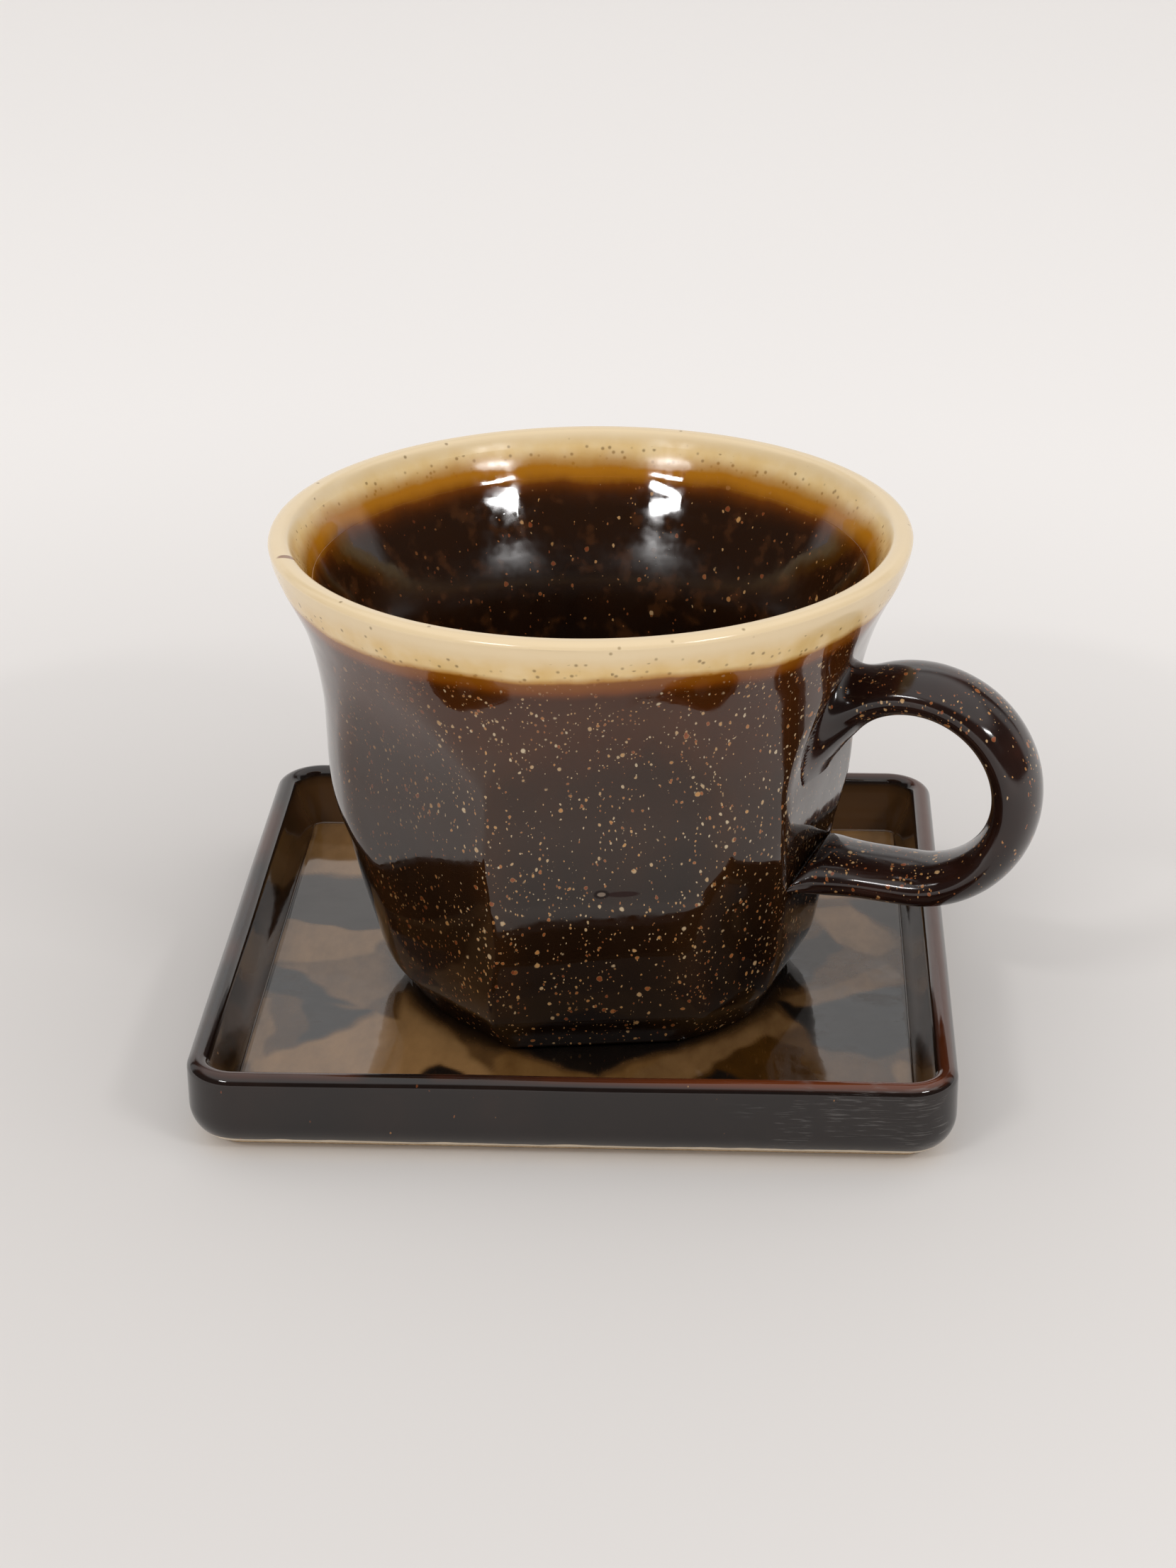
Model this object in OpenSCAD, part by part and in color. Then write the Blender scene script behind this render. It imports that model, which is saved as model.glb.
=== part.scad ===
// Faceted stoneware cup with a ring handle, standing on a square tray saucer.
// Millimetres. The origin is the centre of the saucer's underside, +Z is up and -Y is the front.

/* [Saucer] */
// Length of each side of the square saucer, outside
saucer_side = 120; // [100:1:150]
// Height of the saucer's walls above the table
saucer_height = 14.7; // [12:0.1:20]
// Height of the saucer's floor above the table
saucer_floor_height = 5; // [4.4:0.1:6.5]
// Thickness of the saucer's walls at their top
saucer_wall_top = 3.6; // [2.6:0.1:4.4]
// Thickness of the saucer's walls at the floor
saucer_wall_foot = 6.4; // [5:0.1:7]
// Radius of the saucer's corners, seen from above
saucer_corner = 8; // [7.5:0.1:12]
// How far the lower edge is tucked in all round
saucer_tuck = 5.2; // [3:0.1:6.5]
// Height over which the lower edge is tucked in
saucer_tuck_height = 5.6; // [4:0.1:7]
// Thickness of the bare clay base under the saucer
saucer_base_height = 1.2; // [0.8:0.1:2]
// Thickness of the patterned glaze on the saucer's floor
floor_glaze = 0.5; // [0.4:0.1:1]

/* [Cup] */
// Distance from the saucer's middle to the cup's axis, to the right
cup_offset = 1; // [-3:0.5:3]
// Height of the cup above the saucer's floor
cup_height = 78.7; // [65:0.1:100]
// Width across the lip
rim_width = 103.8; // [94:0.1:115]
// Width of the body across opposite corners of its facets
body_width = 88.4; // [84:0.1:94]
// Width of the body across opposite facets
facet_width = 79.6; // [77:0.1:83]
// Number of facets cut round the body
facet_count = 6; // [5:1:8]
// Angle of the front facet's middle, turned from the front to the right
facet_turn = 12; // [-30:1:30]
// Width of the thrown body at its foot, across the corners of its facets
base_width = 65; // [62:0.1:68]
// Width across opposite facets at the foot
facet_foot_width = 62; // [59:0.1:64]
// Thickness of the wall at the middle of a facet
cup_wall = 3.5; // [2.5:0.1:5]
// Thickness of the lip
lip_thickness = 3.8; // [3:0.1:5]
// Height of the cream band, down from the top of the lip
lip_band = 7.4; // [4:0.1:12]
// Thickness of the cup's floor
cup_floor = 5; // [3.5:0.1:7]
// Outer width of the foot ring
foot_width = 56.8; // [50:0.1:57.5]
// Width of the foot ring's flat face
foot_face = 5.2; // [3.5:0.1:7]
// Height of the bare clay on the foot ring
foot_height = 0.5; // [0.4:0.1:1.2]
// Depth of the hollow inside the foot ring, above the bare clay
foot_hollow = 1.4; // [0.8:0.1:2.2]

/* [Handle] */
// Width of the handle's ring, between the middles of the strap
ring_width = 33.2; // [30:0.1:38]
// Height of the ring's centre above the saucer's floor
ring_height = 41.4; // [38:0.1:46]
// Distance from the facet to the ring's centre
ring_reach = 15.7; // [13:0.1:20]
// Thickness of the strap
strap_thickness = 7.7; // [5.5:0.1:10]
// Breadth of the strap
strap_breadth = 14; // [9:0.1:18]
// How many times thicker the strap is where it meets the body
root_flare = 1.12; // [1:0.01:1.3]
// Length over which the strap spreads towards the body
root_length = 9; // [3:0.5:12]
// Radius of the fillet between the strap and the body
root_fillet = 4; // [2:0.1:5]
// Slope at which the upper end leaves the body
root_slope = 47; // [35:1:60]

/* [Hidden] */

// Names for the directions in a list of coordinates
x = 0;
y = 1;
// Overrun of every cut
over = 1;
// Degrees in a circle and in a quarter of one
turn = 360;
quarter = 90;
// Steps of the curves
span_steps = 5;
arc_steps = 6;
round_fn = 96;
// Steps of the handle's sweep: round the strap, along its arc and along each straight end
strap_sides = 24;
ring_steps = 22;
root_steps = 10;
// How deep the foot of the strap's fillet is buried in the facet, so that it ends in no thin skirt
fillet_bury = 0.35;

// Radii and heights that several pieces share
rim_radius = rim_width / 2;
body_radius = body_width / 2;
facet_radius = facet_width / 2;
base_radius = base_width / 2;
facet_foot_radius = facet_foot_width / 2;
foot_radius = foot_width / 2;
lip_radius = lip_thickness / 2;
lip_height = cup_height - lip_radius;
band_height = cup_height - lip_band;
inner_radius = facet_radius - cup_wall;
hollow_height = foot_height + foot_hollow;
inner_floor_height = hollow_height + cup_floor;
crest_radius = saucer_wall_top / 2;
panel_bottom = saucer_floor_height - floor_glaze;
// Side of the middle of the saucer, between the corners' centres
middle_side = saucer_side - 2 * saucer_corner;
// Radius of the fillet at the foot of the walls
floor_fillet = saucer_wall_foot - saucer_wall_top;

// Outside of the thrown body between its foot and its lip. Each row gives a share of the way
// from the base radius to the body radius, then on to the rim, and a share of the cup's height.
belly_shares = [[0, 0], [0.15, 0.045], [0.36, 0.095], [0.51, 0.19], [0.72, 0.335], [0.93, 0.46], [1, 0.672]];
flare_shares = [[0.28, 0.807], [0.76, 0.915], [1, 0.976]];
// Curved plane of a facet, which fades out into the flare below the lip. The first rows give a share
// of the way from the facet's foot to its full radius, the last a share of the way from there to the rim.
cut_shares = [[0, 0], [0.15, 0.051], [0.33, 0.089], [0.58, 0.183], [0.77, 0.317], [0.95, 0.447], [1, 0.513]];
cut_flare_shares = [[0.01, 0.57], [0.08, 0.635], [0.21, 0.7], [0.37, 0.762], [0.55, 0.826], [0.73, 0.877],
                    [1.1, 0.966]];
// Inside of the wall above its rounded floor: shares of the way from the inner radius to the
// inside of the lip, and of the cup's height
inside_shares = [[0, 0.55], [0.05, 0.68], [0.35, 0.8], [0.78, 0.92], [1, 0.976]];
// Rounded corner of the inside: shares of the inner radius and of the cup's height over the floor
bowl_shares = [[0, 0], [0.45, 0.006], [0.7, 0.03], [0.84, 0.09], [0.91, 0.19], [0.96, 0.31], [0.985, 0.4]];

// Point a share t of the way from a to b
function between(a, b, t) = a + (b - a) * t;

// Point a share t along the smooth curve from b to c, with a before and d after them
function curve_point(a, b, c, d, t) =
    (2 * b + (c - a) * t + (2 * a - 5 * b + 4 * c - d) * t * t + (3 * b - a - 3 * c + d) * t * t * t) / 2;

// Smooth curve through all the points of a list
function curve(points) =
    let (last = len(points) - 1)
    [for (i = [0 : last - 1])
        let (before = i == 0 ? 2 * points[0] - points[1] : points[i - 1])
        let (after = i == last - 1 ? 2 * points[last] - points[last - 1] : points[i + 2])
        for (s = [0 : span_steps - (i == last - 1 ? 0 : 1)])
            curve_point(before, points[i], points[i + 1], after, s / span_steps)];

// Arc of an ellipse about a centre, from one angle to another
function arc(centre, radius_x, radius_y, start, end) =
    [for (s = [0 : arc_steps])
        let (angle = between(start, end, s / arc_steps))
        centre + [radius_x * cos(angle), radius_y * sin(angle)]];

// Outline of the thrown body, from its base to the outside of the lip
function outside_points() = curve(concat(
    [for (p = belly_shares)
        [between(base_radius, body_radius, p[x]), max(foot_height, p[y] * cup_height)]],
    [for (p = flare_shares)
        [between(body_radius, rim_radius, p[x]), p[y] * cup_height]]));

// Outline of the inside, from the middle of the floor to the inside of the lip
function inside_points() =
    let (inside_rim = rim_radius - lip_thickness)
    curve(concat(
        [for (p = bowl_shares)
            [p[x] * inner_radius, inner_floor_height + p[y] * cup_height]],
        [for (p = inside_shares)
            [between(inner_radius, inside_rim, p[x]), p[y] * cup_height]]));

// Half outline of the whole wall, closed by the round crest of the lip
function wall_points() = concat(
    [[0, foot_height]],
    outside_points(),
    arc([rim_radius - lip_radius, lip_height], lip_radius, lip_radius, 0, 2 * quarter),
    [for (i = [len(inside_points()) - 2 : -1 : 0]) inside_points()[i]]);

// Cup's own place: its axis, and the saucer's floor as its height zero
module at_cup() {
    translate([cup_offset, 0, saucer_floor_height])
        children();
}

// Revolved piece of the wall above or below a height
module wall_between(low, high) {
    rotate_extrude($fn = round_fn)
        intersection() {
            polygon(wall_points());
            translate([0, low])
                square([rim_width, high - low]);
        }
}

// Curved plane of a facet, as its distance from the cup's axis at each height
function facet_plane() = curve(concat(
    [for (p = cut_shares)
        [between(facet_foot_radius, facet_radius, p[x]), p[y] * cup_height]],
    [for (p = cut_flare_shares)
        [between(facet_radius, rim_radius, p[x]), p[y] * cup_height]]));

// What one cut takes away: all that lies outside the facet's curved plane
module facet_cutter() {
    plane = facet_plane();
    top = plane[len(plane) - 1];
    outline = concat(plane, [[rim_width, top[y]], [rim_width, plane[0][y]]]);
    rotate([quarter, 0, 0])
        translate([0, 0, -rim_radius])
            linear_extrude(rim_width)
                polygon(outline);
}

// All facets, round the cup's axis
module facet_cutters() {
    for (i = [0 : facet_count - 1])
        rotate([0, 0, facet_turn - quarter + i * turn / facet_count])
            facet_cutter();
}

// Solid of the cup's outside, with no hollow, that the handle is pressed onto
module cup_blank() {
    difference() {
        rotate_extrude($fn = round_fn)
            polygon(concat([[0, foot_height]], outside_points(), [[0, lip_height]]));
        facet_cutters();
    }
}

// Faceted wall and floor of the cup, up to the cream band
module cup_body() {
    color([0.17, 0.1, 0.06])
        at_cup()
            difference() {
                wall_between(foot_height, band_height);
                facet_cutters();
                translate([0, 0, -over])
                    cylinder(h = hollow_height + over, r = foot_radius - foot_face, $fn = round_fn);
            }
}

// Flared lip above the facets, which carries the cream glaze
module cup_lip() {
    color([0.87, 0.73, 0.5])
        at_cup()
            wall_between(band_height, cup_height + over);
}

// Bare clay ring that the cup stands on
module cup_foot_ring() {
    color([0.8, 0.68, 0.52])
        at_cup()
            difference() {
                cylinder(h = foot_height, r = foot_radius, $fn = round_fn);
                translate([0, 0, -over])
                    cylinder(h = foot_height + 2 * over, r = foot_radius - foot_face, $fn = round_fn);
            }
}

// Course of the strap's middle, in the plane of the ring. Each row is a place, as the distance
// from the cup's axis and the height, and the strap's direction there.
function strap_course() =
    let (ring_radius = ring_width / 2)
    let (centre = [facet_radius + ring_reach, ring_height])
    let (start_angle = quarter + root_slope)
    let (start = centre + ring_radius * [cos(start_angle), sin(start_angle)])
    let (start_way = [sin(start_angle), -cos(start_angle)])
    let (start_run = (start[x] - facet_radius + strap_thickness) / start_way[x])
    let (end = centre - [0, ring_radius])
    let (end_run = end[x] - facet_radius + strap_thickness)
    concat(
        [for (s = [0 : root_steps - 1])
            [start - start_way * start_run * (1 - s / root_steps), start_way]],
        [for (s = [0 : ring_steps])
            let (angle = between(start_angle, -quarter, s / ring_steps))
            [centre + ring_radius * [cos(angle), sin(angle)], [sin(angle), -cos(angle)]]],
        [for (s = [1 : root_steps])
            [end - [end_run * s / root_steps, 0], [-1, 0]]]);

// How much thicker the strap is at a distance from the cup's axis, as it spreads onto the facet
function strap_flare(distance) =
    let (share = min(1, max(0, 1 - (distance - facet_radius) / root_length)))
    1 + (root_flare - 1) * share * share;

// How far a point at a distance from the facet swells outwards, as a round fillet does
function fillet_swell(distance) =
    let (rest = root_fillet - min(root_fillet, max(0, distance + fillet_bury)))
    root_fillet - sqrt(root_fillet * root_fillet - rest * rest);

// Strap with an oval section, carried along its course, spread and filleted at its roots
module strap() {
    course = strap_course();
    last = len(course) - 1;
    facet = [for (p = facet_plane()) [p[y], p[x]]];
    corners = [for (row = course)
        let (flare = strap_flare(row[0][x]))
        for (i = [0 : strap_sides - 1])
            let (angle = i * turn / strap_sides)
            let (out = flare * strap_thickness / 2 * cos(angle))
            let (across = flare * flare * strap_breadth / 2 * sin(angle))
            let (point = [row[0][x] - out * row[1][y], across, row[0][y] + out * row[1][x]])
            let (swell = fillet_swell(point[x] - lookup(point.z, facet)))
            let (sideways = [0, sin(angle), cos(angle) * row[1][x]])
            swell == 0 ? point : point + swell * sideways / norm(sideways)];
    sides = [for (r = [0 : last - 1])
        for (i = [0 : strap_sides - 1])
            let (j = (i + 1) % strap_sides)
            for (face = [[r * strap_sides + i, r * strap_sides + j, (r + 1) * strap_sides + i],
                         [r * strap_sides + j, (r + 1) * strap_sides + j, (r + 1) * strap_sides + i]])
                face];
    ends = [[for (i = [strap_sides - 1 : -1 : 0]) i],
            [for (i = [0 : strap_sides - 1]) last * strap_sides + i]];
    polyhedron(corners, concat(sides, ends), convexity = 6);
}

// Ring handle, pressed onto the facet right of the front one
module cup_handle() {
    color([0.19, 0.11, 0.08])
        at_cup()
            difference() {
                rotate([0, 0, facet_turn + turn / facet_count - quarter])
                    strap();
                cup_blank();
            }
}

// Section of the saucer's wall and the strip of floor beside it: inset from the outer face, and height
function tray_section() = concat(
    arc([saucer_tuck, saucer_base_height + saucer_tuck_height],
        saucer_tuck, saucer_tuck_height, 3 * quarter, 2 * quarter),
    arc([crest_radius, saucer_height - crest_radius], crest_radius, crest_radius, 2 * quarter, 0),
    arc([saucer_wall_foot, saucer_floor_height + floor_fillet],
        floor_fillet / 2, floor_fillet, 2 * quarter, 3 * quarter),
    [[saucer_wall_foot, panel_bottom], [saucer_corner, panel_bottom], [saucer_corner, saucer_base_height]]);

// Straight wall along the front, between two corners
module tray_side() {
    translate([0, -saucer_side / 2, 0])
        rotate([quarter, 0, quarter])
            linear_extrude(middle_side, center = true)
                polygon(tray_section());
}

// Round corner that joins two walls, at the back right
module tray_corner() {
    translate([middle_side / 2, middle_side / 2, 0])
        rotate_extrude(angle = quarter, $fn = round_fn)
            polygon([for (p = tray_section()) [saucer_corner - p[x], p[y]]]);
}

// Pressed tray: its floor and four walls
module saucer_tray() {
    color([0.16, 0.1, 0.08]) {
        translate([0, 0, saucer_base_height])
            translate([-middle_side / 2, -middle_side / 2, 0])
                cube([middle_side, middle_side, panel_bottom - saucer_base_height]);
        for (i = [0 : 3])
            rotate([0, 0, i * quarter]) {
                tray_side();
                tray_corner();
            }
    }
}

// Square plate with round corners, lying on its lower face
module rounded_plate(side, corner, thickness) {
    linear_extrude(thickness) {
        square([side, side - 2 * corner], center = true);
        square([side - 2 * corner, side], center = true);
        for (i = [-1, 1], j = [-1, 1])
            translate([i, j] * (side / 2 - corner))
                circle(r = corner, $fn = round_fn);
    }
}

// Patterned glaze that fills the floor of the tray
module saucer_floor_glaze() {
    color([0.45, 0.36, 0.27])
        translate([0, 0, panel_bottom])
            rounded_plate(saucer_side - 2 * saucer_wall_foot, saucer_corner - saucer_wall_foot, floor_glaze);
}

// Bare clay underside of the saucer
module saucer_base() {
    color([0.8, 0.68, 0.52])
        rounded_plate(saucer_side - 2 * saucer_tuck, saucer_corner - saucer_tuck, saucer_base_height);
}

cup_body();
cup_lip();
cup_foot_ring();
cup_handle();
saucer_tray();
saucer_floor_glaze();
saucer_base();
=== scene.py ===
import math
import bpy
import numpy as np
from mathutils import Matrix, Vector


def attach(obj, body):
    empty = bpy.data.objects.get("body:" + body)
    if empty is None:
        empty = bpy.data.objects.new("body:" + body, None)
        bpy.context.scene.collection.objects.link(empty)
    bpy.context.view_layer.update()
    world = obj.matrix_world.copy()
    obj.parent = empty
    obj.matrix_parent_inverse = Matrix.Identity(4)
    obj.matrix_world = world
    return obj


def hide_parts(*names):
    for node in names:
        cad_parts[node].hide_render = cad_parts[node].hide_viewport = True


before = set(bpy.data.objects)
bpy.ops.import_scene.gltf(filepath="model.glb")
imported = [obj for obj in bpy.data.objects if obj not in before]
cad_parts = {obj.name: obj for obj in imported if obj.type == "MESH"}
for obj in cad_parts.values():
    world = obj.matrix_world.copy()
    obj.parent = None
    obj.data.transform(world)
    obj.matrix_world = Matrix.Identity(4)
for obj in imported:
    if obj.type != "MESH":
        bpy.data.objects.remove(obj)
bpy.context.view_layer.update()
print("frame: loaded")

mm = 0.001
turn = 2 * math.pi
scene = bpy.context.scene
scene.view_settings.view_transform = "Standard"


# camera
photoCamera = {
    "place": (27.89, -503.27, 265),  # mm
    "pitch": 0.423369,  # looking down, radians
    "yaw": -0.0548869,
    "roll": -0.00906065,
    "focalPixels": 4683.6,
    "tallPixels": 2212,
    "sensor": 36,  # mm
    "clip": (0.01, 20),  # m
}


def makeCamera(card):
    # forward comes from pitch and yaw; side and top are turned about it by the roll
    forward = np.array([
        math.sin(card["yaw"]) * math.cos(card["pitch"]),
        math.cos(card["yaw"]) * math.cos(card["pitch"]),
        -math.sin(card["pitch"]),
    ])
    level = np.cross(forward, [0, 0, 1])
    level /= np.linalg.norm(level)
    lift = np.cross(level, forward)
    cosRoll, sinRoll = math.cos(card["roll"]), math.sin(card["roll"])
    side = level * cosRoll + lift * sinRoll
    top = lift * cosRoll - level * sinRoll
    data = bpy.data.cameras.new("photoCamera")
    data.sensor_width = card["sensor"]
    data.lens = card["focalPixels"] * card["sensor"] / card["tallPixels"]
    data.clip_start, data.clip_end = card["clip"]
    camera = bpy.data.objects.new("photoCamera", data)
    turned = Matrix(np.stack([side, top, -forward], 1).tolist()).to_4x4()
    camera.matrix_world = Matrix.Translation(Vector(card["place"]) * mm) @ turned
    scene.collection.objects.link(camera)
    scene.camera = camera


makeCamera(photoCamera)
print("camera: placed")


# mesh helpers
def smoothCurve(rows, steps=24):
    # cubic through every row: each span leans on the rows before and after it
    rows = np.asarray(rows, float)
    padded = np.vstack([2 * rows[0] - rows[1], rows, 2 * rows[-1] - rows[-2]])
    a, b, c, d = padded[:-3], padded[1:-2], padded[2:-1], padded[3:]
    t = np.arange(steps)[None, :, None] / steps
    a, b, c, d = (v[:, None, :] for v in (a, b, c, d))
    square, cube = 2 * a - 5 * b + 4 * c - d, 3 * b - a - 3 * c + d
    spans = (2 * b + (c - a) * t + square * t ** 2 + cube * t ** 3) / 2
    return np.vstack([spans.reshape(-1, rows.shape[1]), rows[-1:]])


def evenly(points, count):
    # the same curve with count points at equal distances along it
    steps = np.r_[0, np.cumsum(np.linalg.norm(np.diff(points, axis=0), axis=1))]
    at = np.linspace(0, steps[-1], count)
    return np.stack([np.interp(at, steps, points[:, i]) for i in range(points.shape[1])], 1)


def atHeight(curve, height, **past):
    # a curve's first column, such as its radius, where the second reaches the height
    return np.interp(height, curve[:, 1], curve[:, 0], **past)


def ease(low, high, value):
    # smooth step from 0 at low to 1 at high
    share = np.clip((value - low) / (high - low), 0, 1)
    return share * share * (3 - 2 * share)


def softLeast(a, b, blend):
    # the lesser of two values, with their crossing rounded over the blend
    share = np.clip(0.5 + 0.5 * (b - a) / blend, 0, 1)
    return b * (1 - share) + a * share - blend * share * (1 - share)


def awayFrom(degrees, middle):
    # signed angle from the middle, between -180 and 180 degrees
    return (degrees - middle + 180) % 360 - 180


def towards(angle):
    # unit direction, as its two parts
    return np.stack([np.cos(angle), np.sin(angle)], -1)


def bow(centre, radii, first, last, steps):
    # arc of an ellipse between two angles in degrees
    return np.array(centre) + radii * towards(np.radians(np.linspace(first, last, steps)))


def buildPiece(name, rings, closedRows=False, poleStart=None, poleEnd=None, crease=42, **attributes):
    # rings is rows x columns x 3 in mm: columns close round, and rows close too or end in a pole point.
    # Edges that bend by more than the crease, in degrees, are shaded sharp
    rows, columns = rings.shape[:2]
    index = np.arange(rows * columns).reshape(rows, columns)
    nextRow = np.roll(index, -1, 0) if closedRows else index[1:]
    thisRow = index if closedRows else index[:-1]
    quads = np.stack([thisRow, np.roll(thisRow, -1, 1), np.roll(nextRow, -1, 1), nextRow], -1).reshape(-1, 4)
    points = rings.reshape(-1, 3)
    faces = quads.tolist()
    extra = []
    for row, pole in ((0, poleStart), (-1, poleEnd)):
        if pole is not None:
            fan = [index[row], np.roll(index[row], -1), np.full(columns, len(points))]
            faces += np.stack(fan if row else fan[::-1], -1).tolist()
            points = np.vstack([points, pole])
            extra.append(row)
    mesh = bpy.data.meshes.new(name)
    mesh.from_pydata((points * mm).tolist(), [], faces)
    mesh.polygons.foreach_set("use_smooth", np.ones(len(faces), bool))
    for key, values in attributes.items():
        flat = np.r_[values.reshape(-1), [values[row].mean() for row in extra]]
        mesh.attributes.new(key, "FLOAT", "POINT").data.foreach_set("value", flat.astype(np.float32))
    if crease:
        mesh.set_sharp_from_angle(angle=math.radians(crease))
    mesh.validate()
    mesh.update()
    piece = bpy.data.objects.new(name, mesh)
    scene.collection.objects.link(piece)
    return piece


def finishPiece(piece, body, nodes, material):
    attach(piece, body)
    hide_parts(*nodes)
    piece.data.materials.append(material)


# node helpers
def newMaterial(name):
    material = bpy.data.materials.new(name)
    material.use_nodes = True
    tree = material.node_tree
    tree.nodes.clear()
    shader = tree.nodes.new("ShaderNodeBsdfPrincipled")
    output = tree.nodes.new("ShaderNodeOutputMaterial")
    tree.links.new(shader.outputs["BSDF"], output.inputs["Surface"])
    return material, tree, shader


def feed(value, socket):
    # a socket takes either a link or a plain value
    if isinstance(value, bpy.types.NodeSocket):
        socket.id_data.links.new(value, socket)
    else:
        socket.default_value = value


def addNode(kind, *values, **settings):
    # a node in the tree that the values' sockets are in, with its first inputs fed
    tree = next(value.id_data for value in values if isinstance(value, bpy.types.NodeSocket))
    node = tree.nodes.new("ShaderNode" + kind)
    for key, setting in settings.items():
        setattr(node, key, setting)
    for value, socket in zip(values, node.inputs):
        feed(value, socket)
    return node


def calc(operation, *values, clamp=False):
    return addNode("Math", *values, operation=operation, use_clamp=clamp).outputs[0]


def times(a, b):
    return calc("MULTIPLY", a, b)


def plus(a, b):
    return calc("ADD", a, b)


def timesPlus(a, b, c, clamp=False):
    return calc("MULTIPLY_ADD", a, b, c, clamp=clamp)


def most(a, b):
    return calc("MAXIMUM", a, b)


def centred(noise):
    return calc("SUBTRACT", noise, 0.5)


def remap(value, low, high, toLow=0, toHigh=1):
    # smooth step from toLow where the value is low to toHigh where it is high
    node = addNode("MapRange", value, low, high, toLow, toHigh, interpolation_type="SMOOTHSTEP")
    return node.outputs["Result"]


def mix(share, a, b):
    node = addNode("Mix", share, data_type="RGBA")
    for colour, key in ((a, "A"), (b, "B")):
        feed((*colour, 1) if isinstance(colour, tuple) else colour, node.inputs[key])
    return node.outputs["Result"]


def stretch(vector, scale, turned=(0, 0, 0), moved=(0, 0, 0)):
    return addNode("Mapping", vector, moved, turned, scale).outputs["Vector"]


def cloud(vector, size, detail=2, rough=0.5):
    # noise whose blotches are about size mm wide
    return addNode("TexNoise", vector, 0, 1 / (size * mm), detail, rough).outputs["Fac"]


def cells(vector, size):
    # Voronoi cells about size mm wide
    return addNode("TexVoronoi", vector, 0, 1 / (size * mm)).outputs


def ramp(value, stops):
    node = addNode("ValToRGB", value)
    band = node.color_ramp
    while len(band.elements) < len(stops):
        band.elements.new(0.5)
    for element, (place, colour) in zip(band.elements, stops):
        element.position = place
        element.color = (*colour, 1)
    return node.outputs["Color"]


def blob(place, centre, reach):
    # mask of an ellipsoid about a place, in mm: 1 inside, 0 outside
    shift = [-at / side for at, side in zip(centre, reach)]
    local = stretch(place, [1 / (side * mm) for side in reach], moved=shift)
    return remap(addNode("VectorMath", local, operation="LENGTH").outputs["Value"], 0.7, 1, 1, 0)


def readAttribute(place, name):
    node = place.id_data.nodes.new("ShaderNodeAttribute")
    node.attribute_name = name
    return node.outputs["Fac"]


def objectPlace(tree):
    return tree.nodes.new("ShaderNodeTexCoord").outputs["Object"]


def separate(vector):
    return addNode("SeparateXYZ", vector).outputs


def bump(height, distance):
    node = height.id_data.nodes.new("ShaderNodeBump")
    node.inputs["Distance"].default_value = distance * mm
    feed(height, node.inputs["Height"])
    return node.outputs["Normal"]


socketKinds = {"Place": "Vector", "Brown": "Color", "Colour": "Color"}  # the others are plain values


def newGroup(name, inputs, outputs):
    tree = bpy.data.node_groups.new(name, "ShaderNodeTree")
    for labels, side in ((inputs, "INPUT"), (outputs, "OUTPUT")):
        for label in labels:
            kind = "NodeSocket" + socketKinds.get(label, "Float")
            tree.interface.new_socket(name=label, in_out=side, socket_type=kind)
    return tree, tree.nodes.new("NodeGroupInput").outputs, tree.nodes.new("NodeGroupOutput").inputs


def placeGroup(group, place, **values):
    # its first input is the place, and the others are fed by name
    node = addNode("Group", place, node_tree=group)
    for label, value in values.items():
        feed(value, node.inputs[label])
    return node.outputs


# shared glaze effects
flecks = {
    "wobble": (0.9, 0.5),  # mm, width and reach of the bends that break the dots' roundness
    # width of a cell, the amount that fills it, least and most radius in cells, squash along Z
    "kinds": [(0.62, "Fine", 0.1, 0.28, 0.6), (1, "Fine", 0.12, 0.31, 0.7), (1.9, "Coarse", 0.1, 0.27, 0.9)],
    "core": 0.6,  # share of a fleck's radius that has its full colour
    # from pale gold through tan to copper
    "hues": [(0, (0.56, 0.45, 0.3)), (0.3, (0.5, 0.33, 0.17)), (0.55, (0.5, 0.25, 0.08)),
             (0.8, (0.36, 0.12, 0.035)), (1, (0.22, 0.05, 0.015))],
}


def makeSpeckleGroup():
    # flecks of gold, tan and copper that lie in the glaze: Voronoi cells, some of which hold a fleck
    tree, entry, leave = newGroup("kilnFlecks", ["Place", "Fine", "Coarse", "Warmth"], ["Mask", "Colour"])
    width, shove = flecks["wobble"]
    wobble = cloud(entry["Place"], width, 1).node.outputs["Color"]
    bent = addNode("VectorMath", wobble, [shove * mm] * 3, entry["Place"], operation="MULTIPLY_ADD")
    hue, mask = entry["Warmth"], 0
    for size, amount, small, large, squash in flecks["kinds"]:
        cell = cells(stretch(bent.outputs[0], (1, 1, squash)), size)
        random = addNode("SeparateColor", cell["Color"]).outputs
        here = calc("LESS_THAN", random["Red"], entry[amount])
        reach = remap(random["Green"], 0, 1, small, large)
        dot = remap(cell["Distance"], times(reach, flecks["core"]), reach, 1, 0)
        dot = times(dot, here)
        hue = timesPlus(random["Blue"], dot, hue, clamp=True)
        mask = most(dot, mask)
    feed(mask, leave["Mask"])
    feed(ramp(hue, flecks["hues"]), leave["Colour"])
    return tree


wave = {
    "broad": (9, 0.8),  # width in mm, and share of the height
    "skin": (2.2, 0.08),
    "pitCell": 1.7,
    "pitRadius": (0.03, 0.12),  # in cells
    "roughness": (0.03, 0.09),
}


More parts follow.
